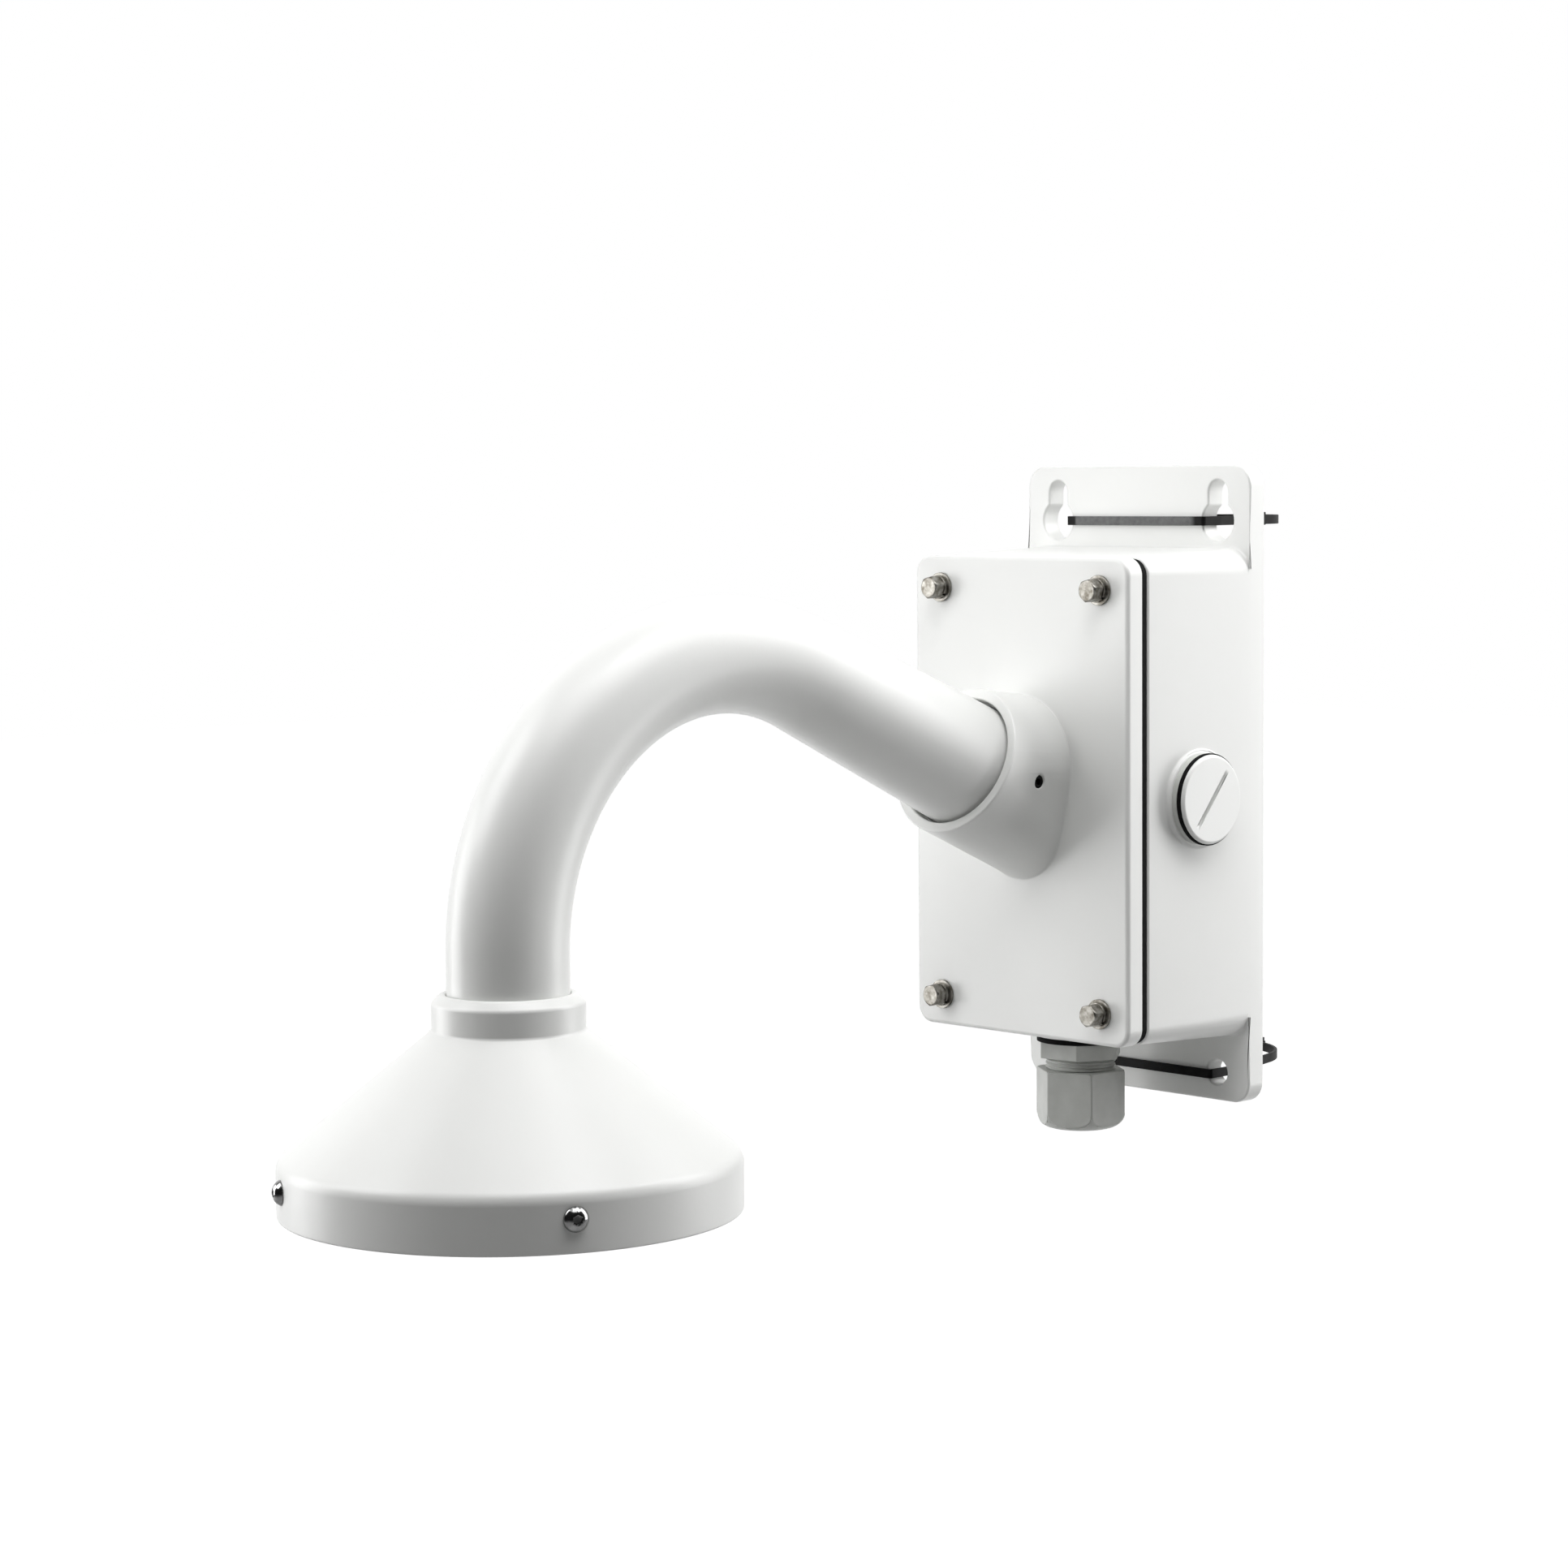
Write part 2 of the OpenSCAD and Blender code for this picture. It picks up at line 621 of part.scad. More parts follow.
module blanking_plug() {
    disc_r = (plug_slot_l * plug_slot_l / 4 + plug_slot_h * plug_slot_h) / (2 * plug_slot_h);
    edge = plug_t / 5;
    color(paint) translate([plug_face_x + plug_seal_t, plug_axis_y, 0]) rotate([0, 90, 0]) difference() {
        union() {
            cylinder(h = plug_t - edge, d = plug_d);
            translate([0, 0, plug_t - edge]) cylinder(h = edge, r1 = plug_d / 2, r2 = plug_d / 2 - edge);
            translate([0, 0, -plug_shank_l]) cylinder(h = plug_shank_l, d = plug_shank_d);
        }
        translate([0, 0, plug_t + disc_r - plug_slot_h]) rotate([0, 0, -plug_slot_a]) rotate([90, 0, 0])
            cylinder(h = plug_slot_w, r = disc_r, center = true);
        translate([0, 0, -plug_shank_l - cut]) cylinder(h = plug_shank_l, d = plug_shank_d * 0.8);
    }
}

module plug_seal() {
    color(black) translate([plug_face_x, plug_axis_y, 0]) rotate([0, 90, 0]) linear_extrude(plug_seal_t)
        difference() {
            circle(plug_d / 2 - plug_seal_t / 2);
            circle(plug_shank_d / 2 + hole_gap);
        }
}

// Places its children under the gland's pad, with Z pointing downwards
module under_gland_pad() {
    translate([0, gland_axis_y, gland_face_z]) rotate([180, 0, 0]) children();
}

module gland_seal() {
    color(black) under_gland_pad() linear_extrude(gland_seal_t) difference() {
        circle(d = gland_seal_d);
        circle(gland_d / 2 + hole_gap);
    }
}

module gland_body() {
    color(grey_plastic) under_gland_pad() difference() {
        union() {
            translate([0, 0, -gland_in_l]) cylinder(h = gland_in_l + gland_hex_z, d = gland_d);
            translate([0, 0, gland_hex_z]) rotate([0, 0, gland_turn]) hex(gland_d + 2 * gland_ledge, gland_hex_h);
            translate([0, 0, gland_neck_z]) cylinder(h = gland_neck_h + neck_in, r = neck_r);
        }
        translate([0, 0, -gland_in_l - cut]) cylinder(h = 2 * gland_in_l + nut_h, r = insert_r - insert_ledge);
        translate([0, 0, gland_neck_z]) cylinder(h = nut_h + gland_neck_h, r = neck_r - neck_wall);
    }
}

module gland_locknut() {
    color(grey_plastic) under_gland_pad() translate([0, 0, -box_wall - gland_pad_out - locknut_t]) difference() {
        hex(gland_d + 2 * locknut_ledge, locknut_t);
        translate([0, 0, -cut]) cylinder(h = locknut_t + 2 * cut, r = gland_d / 2 + thread_gap);
    }
}

module gland_insert() {
    color(black) under_gland_pad() translate([0, 0, gland_neck_z]) linear_extrude(insert_l)
        difference() {
            circle(insert_r);
            circle(cable_d / 2);
        }
}

module gland_claw_ring() {
    color(grey_plastic) under_gland_pad() translate([0, 0, gland_neck_z]) difference() {
        cylinder(h = insert_l, r = insert_r + claw_t);
        translate([0, 0, -cut]) cylinder(h = insert_l + 2 * cut, r = insert_r);
        for (a = [0:45:135]) rotate([0, 0, a])
            translate([-neck_r, -claw_slot / 2, insert_l / 3]) cube([2 * neck_r, claw_slot, insert_l]);
    }
}

module gland_cap_nut() {
    nut_af = 2 * (neck_r + nut_wall);
    nut_r = nut_af / sqrt(3);
    color(grey_plastic) under_gland_pad() translate([0, 0, nut_z]) difference() {
        intersection() {
            rotate([0, 0, nut_turn]) hex(nut_af, nut_h);
            rotate_extrude() polygon(concat([[0, 0], [nut_r - nut_edge, 0], [nut_r, nut_edge]],
                arc([nut_r - nut_round, nut_h - nut_round], nut_round, 0, 90), [[0, nut_h]]));
        }
        translate([0, 0, -cut]) cylinder(h = neck_in + 2 * cut, r = neck_r + thread_gap);
        translate([0, 0, -cut]) cylinder(h = nut_h + 2 * cut, r = cable_d / 2 + nut_hole_gap);
    }
}

// Part of a flat band that runs round the origin from angle a to angle b
module arc_band(r, t, a, b) {
    far = 2 * (r + t);
    intersection() {
        difference() {
            circle(r + t);
            circle(r);
        }
        polygon(concat([[0, 0]], [for (i = [0:4]) far * [cos(a + (b - a) * i / 4), sin(a + (b - a) * i / 4)]]));
    }
}

// Flat band of a strap round the pole and through two holes of the plate, seen from above.
// edge_x is the edge of a hole that the strap bears on.
module strap_outline(edge_x) {
    reach = sqrt(edge_x * edge_x + pole_r * pole_r);
    phi = acos((pole_r - strap_gap) / reach) - atan2(pole_r, edge_x);
    n = [cos(phi), sin(phi)];
    edge = [edge_x, plate_back];
    for (side = [0, 1]) mirror([side, 0]) {
        translate([-eps, plate_front - strap_gap - strap_t]) square([edge_x + eps, strap_t]);
        translate([edge_x, plate_front]) arc_band(strap_gap, strap_t, -90 - lap_a, lap_a);
        translate([edge_x + strap_gap, plate_front]) square([strap_t, plate_t]);
        translate(edge) arc_band(strap_gap, strap_t, -lap_a, phi + lap_a);
        polygon([edge + strap_gap * n, edge + (strap_gap + strap_t) * n,
            (pole_r + strap_t) * n, pole_r * n]);
        arc_band(pole_r, strap_t, phi - lap_a, 90 + lap_a);
    }
}

module strap(edge_x, z) {
    color(black) translate([0, 0, z - strap_w / 2]) {
        linear_extrude(strap_w) strap_outline(edge_x);
        translate([-lock_w / 2, pole_r + strap_t / 2, strap_w / 2 - lock_h / 2]) cube([lock_w, lock_d, lock_h]);
        translate([lock_w / 2 - eps, pole_r + strap_t + tail_gap, 0]) cube([tail_l + eps, strap_t, strap_w]);
    }
}

// Inner edge of a hole of radius r, at the farthest that a strap reaches from the hole's centre
function bearing_x(r, drop) = hole_x - sqrt(r * r - pow(strap_w / 2 + drop, 2));

module upper_strap() {
    strap(bearing_x(keyhole_d / 2, 0), upper_strap_z);
}

module lower_strap() {
    strap(bearing_x(low_hole_d / 2, lower_strap_drop), lower_strap_z);
}

module earth_screw() {
    head_h = earth_d * 0.6;
    color(steel) translate([-earth_off, cavity_back - earth_post_h, -earth_off]) rotate([90, 0, 0]) difference() {
        union() {
            translate([0, 0, earth_washer_t - earth_l]) cylinder(h = earth_l + eps, d = earth_d);
            translate([0, 0, earth_washer_t]) cylinder(h = head_h, d = 2 * earth_d);
        }
        translate([0, 0, earth_washer_t + head_h]) cube([2 * earth_d + cut, earth_d / 4, head_h], center = true);
    }
}

module earth_washer() {
    color(steel) translate([-earth_off, cavity_back - earth_post_h, -earth_off]) rotate([90, 0, 0])
        linear_extrude(earth_washer_t) difference() {
            circle(d = 2.2 * earth_d);
            circle(earth_d / 2 + hole_gap);
        }
}

back_box();
cover_gasket();
cover();
cover_bolts();
cover_washers();
cover_spring_washers();
gooseneck_arm();
arm_grub_screw();
camera_cap();
rim_screws();
blanking_plug();
plug_seal();
gland_seal();
gland_body();
gland_locknut();
gland_insert();
gland_claw_ring();
gland_cap_nut();
upper_strap();
lower_strap();
earth_screw();
earth_washer();
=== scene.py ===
"""Swan-neck camera bracket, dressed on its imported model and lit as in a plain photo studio."""
import json
from math import cos, pi, radians, sin

import bmesh
import bpy
from mathutils import Matrix, Vector


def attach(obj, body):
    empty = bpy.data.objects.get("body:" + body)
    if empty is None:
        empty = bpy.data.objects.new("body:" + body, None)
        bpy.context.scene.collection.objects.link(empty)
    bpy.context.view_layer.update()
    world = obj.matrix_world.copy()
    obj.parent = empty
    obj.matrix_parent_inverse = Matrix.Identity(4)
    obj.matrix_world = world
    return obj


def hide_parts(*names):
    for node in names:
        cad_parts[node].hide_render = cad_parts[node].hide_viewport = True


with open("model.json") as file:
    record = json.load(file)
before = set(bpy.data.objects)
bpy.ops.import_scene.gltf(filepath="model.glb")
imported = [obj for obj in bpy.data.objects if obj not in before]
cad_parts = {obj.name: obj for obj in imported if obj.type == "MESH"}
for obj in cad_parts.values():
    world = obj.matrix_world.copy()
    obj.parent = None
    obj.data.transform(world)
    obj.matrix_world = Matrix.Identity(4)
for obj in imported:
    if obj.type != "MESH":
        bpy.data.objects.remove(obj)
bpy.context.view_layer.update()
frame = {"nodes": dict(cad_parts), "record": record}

MM = 0.001
AXIS_X = Vector((1, 0, 0))
AXIS_Y = Vector((0, 1, 0))
AXIS_Z = Vector((0, 0, 1))


# Camera, at the photograph's viewing angle
CAMERA_PLACE = (0.9796, -1.15665, 0.1226)
CAMERA_TURN = 46.68
CAMERA_TILT = 4.66
CAMERA_ROLL = 0.47
CAMERA_LENS = 85.19
CAMERA_SENSOR = 36
CAMERA_NEAREST = 0.05
CAMERA_FARTHEST = 50


def make_camera():
    data = bpy.data.cameras.new("camera")
    data.lens = CAMERA_LENS
    data.sensor_width = CAMERA_SENSOR
    data.clip_start = CAMERA_NEAREST
    data.clip_end = CAMERA_FARTHEST
    camera = bpy.data.objects.new("camera", data)
    bpy.context.scene.collection.objects.link(camera)
    camera.location = CAMERA_PLACE
    turn = Matrix.Rotation(radians(CAMERA_TURN), 4, "Z")
    tilt = Matrix.Rotation(radians(90 - CAMERA_TILT), 4, "X")
    roll = Matrix.Rotation(radians(-CAMERA_ROLL), 4, "Z")
    camera.rotation_euler = (turn @ tilt @ roll).to_euler()
    bpy.context.scene.camera = camera


make_camera()


# Materials

class Nodes:
    """A node tree with short ways to add to it."""

    def __init__(self, tree, coords):
        self.tree = tree
        self.coords = self.add("ShaderNodeTexCoord").outputs[coords]

    def add(self, kind, **values):
        node = self.tree.nodes.new(kind)
        for key, value in values.items():
            if key in node.inputs:
                node.inputs[key].default_value = value
            else:
                setattr(node, key, value)
        return node

    def link(self, output, entry):
        self.tree.links.new(output, entry)

    def noise(self, scale, detail=3.0):
        node = self.add("ShaderNodeTexNoise", Scale=scale, Detail=detail)
        self.link(self.coords, node.inputs["Vector"])
        return node.outputs["Fac"]

    def ramp(self, fac, low, high):
        """Mixes two colours by the middle part of a noise."""
        node = self.add("ShaderNodeValToRGB")
        for element, place, color in zip(node.color_ramp.elements, (0.3, 0.7), (low, high)):
            element.position = place
            element.color = (*color, 1)
        self.link(fac, node.inputs["Fac"])
        return node.outputs["Color"]

    def span(self, fac, low, high, start=0.0, end=1.0, ease="LINEAR"):
        """Runs from low to high while the input runs from start to end."""
        node = self.add("ShaderNodeMapRange", interpolation_type=ease)
        for key, value in (("From Min", start), ("From Max", end), ("To Min", low), ("To Max", high)):
            node.inputs[key].default_value = value
        self.link(fac, node.inputs["Value"])
        return node.outputs["Result"]

    def combine(self, operation, one, other):
        node = self.add("ShaderNodeMath", operation=operation)
        self.link(one, node.inputs[0])
        self.link(other, node.inputs[1])
        return node.outputs[0]

    def bump(self, height, distance, strength, under=None):
        node = self.add("ShaderNodeBump", Distance=distance, Strength=strength)
        self.link(height, node.inputs["Height"])
        if under:
            self.link(under, node.inputs["Normal"])
        return node.outputs["Normal"]


def surface(name):
    material = bpy.data.materials.new(name)
    material.use_nodes = True
    nodes = Nodes(material.node_tree, "Object")
    return material, nodes, material.node_tree.nodes["Principled BSDF"].inputs


def powder_coat():
    """White coat with faint clouds of colour, the peel of powder paint and a fine grain."""
    material, n, shader = surface("powder_coat")
    clouds = n.noise(scale=9, detail=4)
    n.link(n.ramp(clouds, (0.785, 0.79, 0.775), (0.82, 0.825, 0.81)), shader["Base Color"])
    n.link(n.span(n.noise(scale=240), low=0.26, high=0.4), shader["Roughness"])
    peel = n.bump(n.noise(scale=700, detail=2), distance=0.05 * MM, strength=0.3)
    grain = n.bump(n.noise(scale=2600, detail=2), distance=0.02 * MM, strength=0.3, under=peel)
    n.link(grain, shader["Normal"])
    shader["IOR"].default_value = 1.5
    return material


def rubber():
    material, n, shader = surface("black_rubber")
    n.link(n.ramp(n.noise(scale=400), (0.003, 0.003, 0.003), (0.008, 0.008, 0.008)), shader["Base Color"])
    n.link(n.span(n.noise(scale=700), low=0.6, high=0.8), shader["Roughness"])
    n.link(n.bump(n.noise(scale=2500, detail=2), distance=0.05 * MM, strength=0.5), shader["Normal"])
    shader["Specular IOR Level"].default_value = 0.08
    return material


def steel(name, low, high, rough):
    """Bare or plated steel with mottled colour between two, and marks in its gloss."""
    material, n, shader = surface(name)
    n.link(n.ramp(n.noise(scale=500), low, high), shader["Base Color"])
    n.link(n.span(n.noise(scale=900), low=rough - 0.06, high=rough + 0.1), shader["Roughness"])
    n.link(n.bump(n.noise(scale=1800), distance=0.03 * MM, strength=0.4), shader["Normal"])
    shader["Metallic"].default_value = 1
    return material


def plastic(name, low, high, rough, gloss):
    """Moulded plastic with a fine texture and colour between two."""
    material, n, shader = surface(name)
    n.link(n.ramp(n.noise(scale=120), low, high), shader["Base Color"])
    n.link(n.span(n.noise(scale=600), low=rough - 0.05, high=rough + 0.07), shader["Roughness"])
    n.link(n.bump(n.noise(scale=1600, detail=2), distance=0.04 * MM, strength=0.4), shader["Normal"])
    shader["Specular IOR Level"].default_value = gloss
    return material


# Edges of the painted reflection, in grey, on the upper strap: axis, share of grey before and after, and the
# stretch between them
PAINTED_REFLECTION_EDGES = (
    ("X", 0, 1, (-31.5 * MM, -30.5 * MM)),
    ("X", 1, 0, (29 * MM, 32 * MM)),
    ("Y", 1, 0, (-37 * MM, -34 * MM)),
    ("Z", 0, 1, (-10 * MM, 10 * MM)),
)


def strap_band():
    """Black band, with a painted reflection in grey on the front of the upper strap between its bends, as in
    the photograph.
    """
    material, n, shader = surface("black_band")
    place = n.add("ShaderNodeSeparateXYZ")
    n.link(n.coords, place.inputs[0])
    share = None
    for axis, before, after, stretch in PAINTED_REFLECTION_EDGES:
        edge = n.span(place.outputs[axis], before, after, *stretch)
        share = n.combine("MULTIPLY", share, edge) if share else edge
    black = n.ramp(n.noise(scale=300), (0.003, 0.003, 0.003), (0.009, 0.009, 0.009))
    # Painted reflection: grey where the soft light shows on the front of the upper strap
    grey = n.ramp(n.noise(scale=500), (0.11, 0.112, 0.112), (0.16, 0.162, 0.162))
    mix = n.add("ShaderNodeMix", data_type="RGBA")
    n.link(share, mix.inputs["Factor"])
    # A mix node has an A, a B and a result for each type of data; these are the colour ones
    n.link(black, mix.inputs[6])
    n.link(grey, mix.inputs[7])
    n.link(mix.outputs[2], shader["Base Color"])
    n.link(n.span(n.noise(scale=600), low=0.4, high=0.55), shader["Roughness"])
    n.link(n.bump(n.noise(scale=1600, detail=2), distance=0.04 * MM, strength=0.4), shader["Normal"])
    shader["Specular IOR Level"].default_value = 0.1
    return material


FINISH = {
    "painted_body": powder_coat(),
    "seal_rubber": rubber(),
    "fastener_steel": steel("zinc_plated", (0.13, 0.117, 0.095), (0.40, 0.39, 0.36), rough=0.38),
    "rim_screw_steel": steel("bright_steel", (0.24, 0.24, 0.24), (0.42, 0.42, 0.42), rough=0.12),
    "blackened_steel": steel("black_oxide", (0.01, 0.01, 0.01), (0.03, 0.03, 0.03), rough=0.4),
    "gland_plastic": plastic(
        "grey_polyamide", (0.50, 0.51, 0.485), (0.58, 0.59, 0.565), rough=0.36, gloss=0.5),
    "strap_plastic": strap_band(),
}
SLOTS = {part["node"]: part["material_slot"] for part in frame["record"]["subparts"]}

for name, node in frame["nodes"].items():
    for place in node.material_slots:
        place.material = FINISH[SLOTS[name]]


# Pieces

def new_piece(name, mesh, slot, node=None):
    """Links a piece that rides on the body and takes its finish, and stands for a node if one is given."""
    piece = bpy.data.objects.new(name, mesh)
    bpy.context.scene.collection.objects.link(piece)
    mesh.materials.clear()
    mesh.materials.append(FINISH[slot])
    mesh.shade_smooth()
    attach(piece, "root")
    if node:
        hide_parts(node)
    return piece


def soften(piece, width, segments=3, angle=30):
    """Rounds the edges of a piece and keeps its flat faces flat."""
    bevel = piece.modifiers.new("rounding", "BEVEL")
    bevel.width = width
    bevel.segments = segments
    bevel.limit_method = "ANGLE"
    bevel.angle_limit = radians(angle)
    bevel.use_clamp_overlap = False
    normals = piece.modifiers.new("flat_faces", "WEIGHTED_NORMAL")
    normals.mode = "FACE_AREA"
    normals.weight = 60


def middle(points):
    """Centre of the box round some points."""
    return Vector([(min(p[i] for p in points) + max(p[i] for p in points)) / 2 for i in range(3)])


# Corners closer than this are one, and faces within this angle of each other lie flat together
SAME_CORNER = 0.002 * MM
SAME_FACE = 0.4


def rounded(node, width, segments=3, angle=30, change=None):
    """A copy of a node's skin with rounded edges, which replaces it.

    It is first turned or scaled about its middle if a change is given.
    """
    bm = bmesh.new()
    bm.from_mesh(frame["nodes"][node].data)
    if change:
        centre = middle([v.co for v in bm.verts])
        for v in bm.verts:
            v.co = centre + change @ (v.co - centre)
    bmesh.ops.remove_doubles(bm, verts=bm.verts, dist=SAME_CORNER)
    bmesh.ops.dissolve_limit(bm, angle_limit=radians(SAME_FACE), verts=bm.verts, edges=bm.edges)
    mesh = bpy.data.meshes.new(node + "_skin")
    bm.to_mesh(mesh)
    bm.free()
    if "custom_normal" in mesh.attributes:
        mesh.attributes.remove(mesh.attributes["custom_normal"])
    for edge in mesh.edges:
        edge.use_edge_sharp = False
    soften(new_piece(node + "_skin", mesh, SLOTS[node], node), width, segments, angle)


# The photograph's straps are 3.6 mm wide, where the solids have 4.8, and its plug stands at another turn
NARROWER = Matrix.Diagonal((1, 1, 0.75))
PLUG_TURN = Matrix.Rotation(radians(12), 3, "X")

rounded("back_box", 0.9 * MM)
rounded("cover", 0.7 * MM)
rounded("camera_cap", 0.8 * MM)
rounded("blanking_plug", 0.4 * MM, change=PLUG_TURN)
rounded("gland_cap_nut", 0.5 * MM)
rounded("gland_body", 0.35 * MM)
rounded("cover_bolts", 0.25 * MM)
rounded("cover_washers", 0.2 * MM)
rounded("cover_spring_washers", 0.2 * MM)
rounded("rim_screws", 0.25 * MM, segments=2, angle=35)
rounded("upper_strap", 0.25 * MM, change=NARROWER)
rounded("lower_strap", 0.25 * MM, change=NARROWER)
rounded("cover_gasket", 0.3 * MM)


# Round skins: the corners in a ring, and the angle from which an edge stays sharp
RING = 96
SHARP_FROM = 40


def ring(bm, centre, side, up, radius):
    """A ring of corners. The radius is a number, or a function of the share of the turn."""
    corners = []
    for k in range(RING):
        turn = k / RING
        reach = radius(turn) if callable(radius) else radius
        corners.append(bm.verts.new(centre + (side * cos(2 * pi * turn) + up * sin(2 * pi * turn)) * reach))
    return corners


def closed_skin(name, loops, bm, node, replace):
    """Joins rings of corners, the last one to the first, into one piece with the finish of a node."""
    for i, loop in enumerate(loops):
        after = loops[(i + 1) % len(loops)]
        for k in range(RING):
            bm.faces.new((loop[k], loop[(k + 1) % RING], after[(k + 1) % RING], after[k]))
    bmesh.ops.recalc_face_normals(bm, faces=bm.faces)
    mesh = bpy.data.meshes.new(name)
    bm.to_mesh(mesh)
    bm.free()
    new_piece(name, mesh, SLOTS[node], node if replace else None)
    mesh.set_sharp_from_angle(angle=radians(SHARP_FROM))


# The tube's run, repeated from the source in metres
COVER_FRONT = -107.65 * MM
ARM_Z = 0.6 * MM
ARM_RISE = radians(24)
SHOULDER = 13 * MM
TAPER_START = 33 * MM
STRAIGHT = 128.2 * MM
BEND_R = 98.3 * MM
LEG = 33.5 * MM
ROOT_R = 24.15 * MM
TUBE_R = 21.2 * MM
TUBE_WALL = 2.6 * MM
TUBE_CHAMFER = 0.6 * MM
TAPER_STEPS = 16
BEND_STEPS = 76
# Shares of the leg's length at which it has a ring
LEG_PLACES = (0.4, 0.97, 1)


def tube_stations():
    """Centre, direction and outer radius along the tube."""
    along = Vector((0, -cos(ARM_RISE), sin(ARM_RISE)))
    start = Vector((0, COVER_FRONT, ARM_Z))
    taper_l = STRAIGHT - TAPER_START
    stations = [(start + along * s, along, ROOT_R) for s in (SHOULDER, TAPER_START)]
    for i in range(1, TAPER_STEPS + 1):
        share = i / TAPER_STEPS
        place = start + along * (TAPER_START + taper_l * share)
        stations.append((place, along, ROOT_R + (TUBE_R - ROOT_R) * share))
    centre = start + along * STRAIGHT - Vector((0, sin(ARM_RISE), cos(ARM_RISE))) * BEND_R
    for i in range(1, BEND_STEPS + 1):
        a = ARM_RISE - (pi / 2 + ARM_RISE) * i / BEND_STEPS
        outwards = Vector((0, sin(a), cos(a)))
        stations.append((centre + outwards * BEND_R, Vector((0, -cos(a), sin(a))), TUBE_R))
    foot, down, _ = stations[-1]
    for share in LEG_PLACES:
        stations.append((foot + down * LEG * share, down, TUBE_R))
    return stations


def make_tube():
    """The outer skin with a chamfer at both ends, then the bore on the way back."""
    stations = tube_stations()
    root, out, root_r = stations[0]
    end, down, end_r = stations[-1]
    rings = [(root, out, root_r - TUBE_CHAMFER), (root + out * TUBE_CHAMFER, out, root_r)]
    rings += stations[1:-1]
    rings += [(end - down * TUBE_CHAMFER, down, end_r), (end, down, end_r - TUBE_CHAMFER)]
    rings += [(centre, direction, r - TUBE_WALL) for centre, direction, r in reversed(stations)]
    bm = bmesh.new()
    loops = [ring(bm, centre, AXIS_X, AXIS_X.cross(direction), r) for centre, direction, r in rings]
    closed_skin("swan_neck", loops, bm, "gooseneck_arm", replace=True)


make_tube()


# Thread seen on the neck of the cable gland, between its hexagon and its cap nut
NECK_Y = -72.65 * MM
NECK_TOP = -105 * MM
NECK_END = -109.8 * MM
NECK_R = 13.1 * MM
THREAD_PITCH = 1.5 * MM
THREAD_DEPTH = 0.7 * MM
THREAD_ROWS = 40
# The thread's flanks: a triangle wave is made steeper and cut off, which leaves flat crests and roots
FLANK_STEEPNESS = 1.5
FLANK_SHIFT = 0.25


def thread_radius(z, turn):
    wave = abs(((z / THREAD_PITCH + turn) % 1) * 2 - 1)
    return NECK_R + THREAD_DEPTH * min(1, max(0, wave * FLANK_STEEPNESS - FLANK_SHIFT))


def make_gland_thread():
    """One turned skin whose radius follows the thread, closed by a plain wall inside the neck."""
    bm = bmesh.new()
    loops = []
    for row in range(THREAD_ROWS + 1):
        z = NECK_TOP + (NECK_END - NECK_TOP) * row / THREAD_ROWS
        loops.append(ring(bm, Vector((0, NECK_Y, z)), AXIS_X, AXIS_Y, lambda turn: thread_radius(z, turn)))
    for z in (NECK_END, NECK_TOP):
        loops.append(ring(bm, Vector((0, NECK_Y, z)), AXIS_X, AXIS_Y, NECK_R - THREAD_DEPTH))
    closed_skin("gland_thread", loops, bm, "gland_body", replace=False)


make_gland_thread()


# The plug's black seal close behind its face, and under it a grey ring of painted shade where the plug's side
# lies in shade, as the photograph shows them.
# Each corner of a profile: distance from the box and radius, in millimetres
SEAL_PROFILE = (
    (0, 15.5), (0, 16.9), (2.3, 16.9), (2.4, 17.5), (2.6, 17.7), (4, 17.7), (4.2, 17.5), (4.2, 15.5))
# Painted shade: a grey ring on the box round the plug's side, in the gland's grey finish
PAINTED_SHADE_RING_PROFILE = ((0, 16.5), (0, 17.5), (2.2, 17.5), (2.3, 17.4), (2.3, 16.5))


def plug_ring(name, profile, node, replace):
    """A turned ring round the plug's head, on the box, with the finish of a node."""
    corners = [v.co for v in frame["nodes"]["plug_seal"].data.vertices]
    centre = middle(corners)
    centre.x = min(p.x for p in corners)
    bm = bmesh.new()
    loops = [ring(bm, centre + AXIS_X * out * MM, AXIS_Y, AXIS_Z, r * MM) for out, r in profile]
    closed_skin(name, loops, bm, node, replace)


plug_ring("plug_seal_skin", SEAL_PROFILE, "plug_seal", replace=True)
# The grey ring is painted shade on the plug's side, not a part of the plug
plug_ring("plug_painted_shade_ring", PAINTED_SHADE_RING_PROFILE, "gland_body", replace=False)


# Studio
CENTRE = Vector((0, -0.22, 0))
TO_CAMERA = Vector((sin(radians(CAMERA_TURN)), -cos(radians(CAMERA_TURN)), 0))
TO_RIGHT = Vector((cos(radians(CAMERA_TURN)), sin(radians(CAMERA_TURN)), 0))

# Each soft box: degrees round the object from the camera towards its right, degrees upwards, watts
SOFTBOXES = {
    "left_low": (-101, 0, 4.1),
    "left_high": (-80, 35, 4.3),
    "right_low": (100, 0, 3.0),
    "right_high": (100, 35, 4.7),
    "top_right": (60, 65, 4.4),
    "top_front": (0, 65, 2.6),
    "top_left": (-45, 65, 1.0),
}
SOFTBOX_FAR = 0.95
SOFTBOX_SIZE = (0.5, 0.6)


def softbox(name, turn, rise, power):
    light = bpy.data.lights.new(name, "AREA")
    light.shape = "RECTANGLE"
    light.size, light.size_y = SOFTBOX_SIZE
    light.energy = power
    lamp = bpy.data.objects.new(name, light)
    level = TO_CAMERA * cos(radians(turn)) + TO_RIGHT * sin(radians(turn))
    lamp.location = CENTRE + (level * cos(radians(rise)) + AXIS_Z * sin(radians(rise))) * SOFTBOX_FAR
    lamp.rotation_euler = (lamp.location - CENTRE).to_track_quat("Z", "Y").to_euler()
    lamp.visible_camera = False
    bpy.context.scene.collection.objects.link(lamp)


for name, values in SOFTBOXES.items():
    softbox(name, *values)


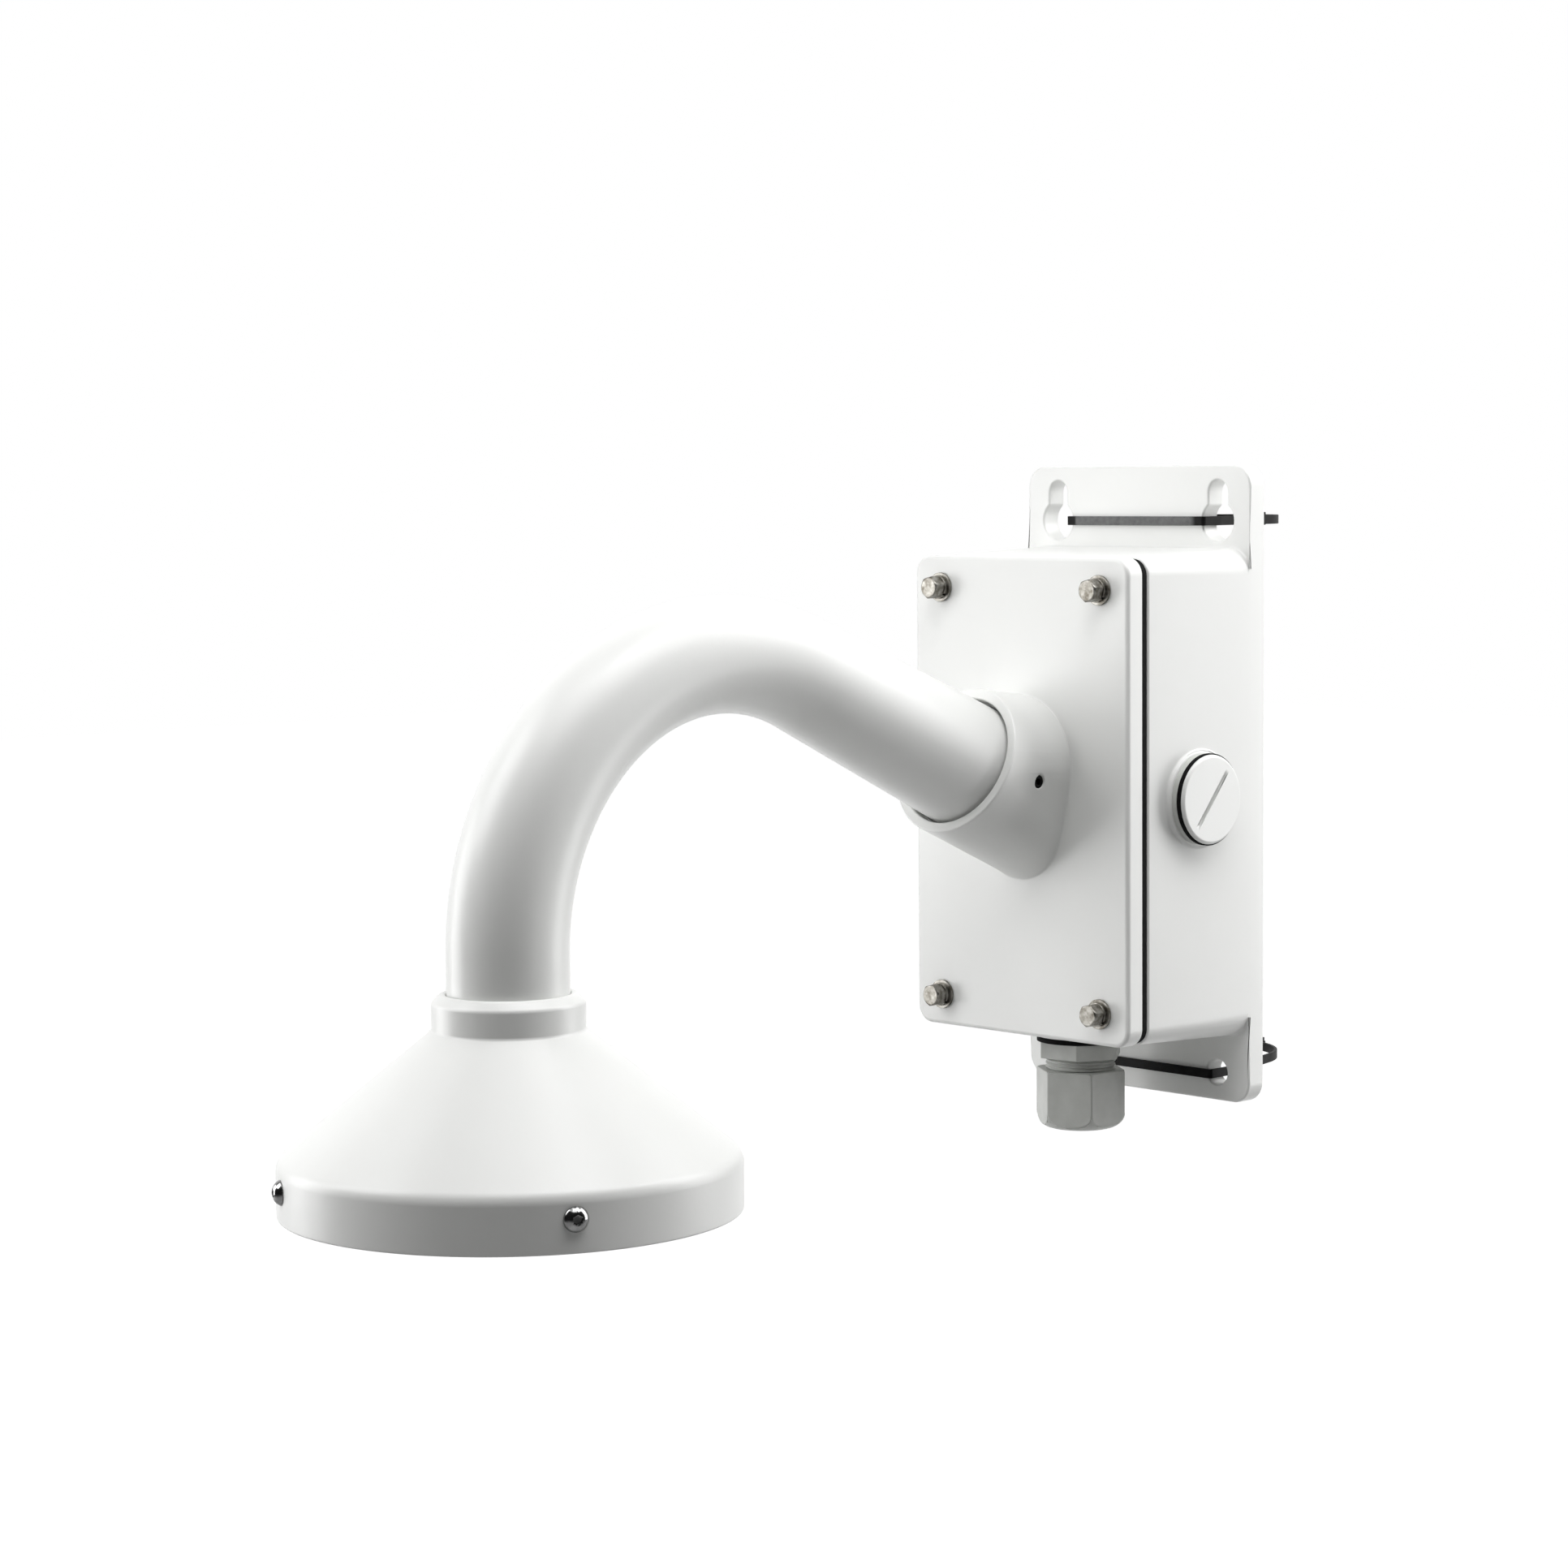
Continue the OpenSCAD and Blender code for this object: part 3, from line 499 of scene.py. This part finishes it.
def behind_object(n, start, end):
    """From 1 behind the object to 0 towards the camera."""
    facing = n.add("ShaderNodeVectorMath", operation="DOT_PRODUCT")
    facing.inputs[1].default_value = TO_CAMERA
    n.link(n.coords, facing.inputs[0])
    return n.span(facing.outputs["Value"], 1, 0, start, end, "SMOOTHSTEP")


def backdrop_rays(n, mirrored_share):
    """1 for rays that see the plain background.

    They are the camera's own, those through glass and a share of the mirrored ones.
    """
    path = n.add("ShaderNodeLightPath")
    seen = n.combine("MAXIMUM", path.outputs["Is Camera Ray"], path.outputs["Is Transmission Ray"])
    mirrored = n.combine("MULTIPLY", path.outputs["Is Glossy Ray"], mirrored_share)
    return n.combine("MAXIMUM", seen, mirrored)


WHITE = (1, 1, 1, 1)
ROOM_LEVEL = 0.02
# Where the mirrored background fades out: from -1 straight behind the object to 1 at the camera
WORLD_FADE = (-0.75, -0.2)


def make_world():
    """White background behind the object, also in its mirrored light, and a dim room on the camera's side."""
    world = bpy.data.worlds.new("studio")
    bpy.context.scene.world = world
    world.use_nodes = True
    n = Nodes(world.node_tree, "Generated")
    room = n.tree.nodes["Background"]
    room.inputs["Color"].default_value = WHITE
    room.inputs["Strength"].default_value = ROOM_LEVEL
    white = n.add("ShaderNodeBackground", Strength=1.0)
    white.inputs["Color"].default_value = WHITE
    mix = n.add("ShaderNodeMixShader")
    n.link(backdrop_rays(n, behind_object(n, *WORLD_FADE)), mix.inputs[0])
    n.link(room.outputs[0], mix.inputs[1])
    n.link(white.outputs[0], mix.inputs[2])
    n.link(mix.outputs[0], n.tree.nodes["World Output"].inputs["Surface"])


make_world()


FLOOR_PLACE = (0, -0.2, -0.42)
FLOOR_HALF = 6
# The floor's own white for the backdrop: its level near the middle, and where it rises to 1 from there
FLOOR_GLOW = 0.8
FLOOR_RISE = (0.45, 1.1)
# Where the mirrored floor fades out, in metres from its middle towards the camera
FLOOR_FADE = (-0.7, -0.1)


def make_floor():
    """Pale floor that takes the object's shadow and is white further away."""
    bm = bmesh.new()
    bmesh.ops.create_grid(bm, x_segments=4, y_segments=4, size=FLOOR_HALF)
    mesh = bpy.data.meshes.new("floor")
    bm.to_mesh(mesh)
    bm.free()
    floor = bpy.data.objects.new("floor", mesh)
    floor.location = FLOOR_PLACE
    bpy.context.scene.collection.objects.link(floor)
    material, n, shader = surface("studio_floor")
    n.link(n.ramp(n.noise(scale=3), (0.5, 0.5, 0.5), (0.54, 0.54, 0.54)), shader["Base Color"])
    shader["Roughness"].default_value = 0.9
    shader["Specular IOR Level"].default_value = 0
    shader["Emission Color"].default_value = WHITE
    away = n.add("ShaderNodeVectorMath", operation="LENGTH")
    n.link(n.coords, away.inputs[0])
    glow = n.span(away.outputs["Value"], FLOOR_GLOW, 1, *FLOOR_RISE, "SMOOTHSTEP")
    seen = backdrop_rays(n, behind_object(n, *FLOOR_FADE))
    n.link(n.combine("MULTIPLY", seen, glow), shader["Emission Strength"])
    mesh.materials.append(material)


make_floor()

bpy.context.scene.view_settings.view_transform = "Standard"
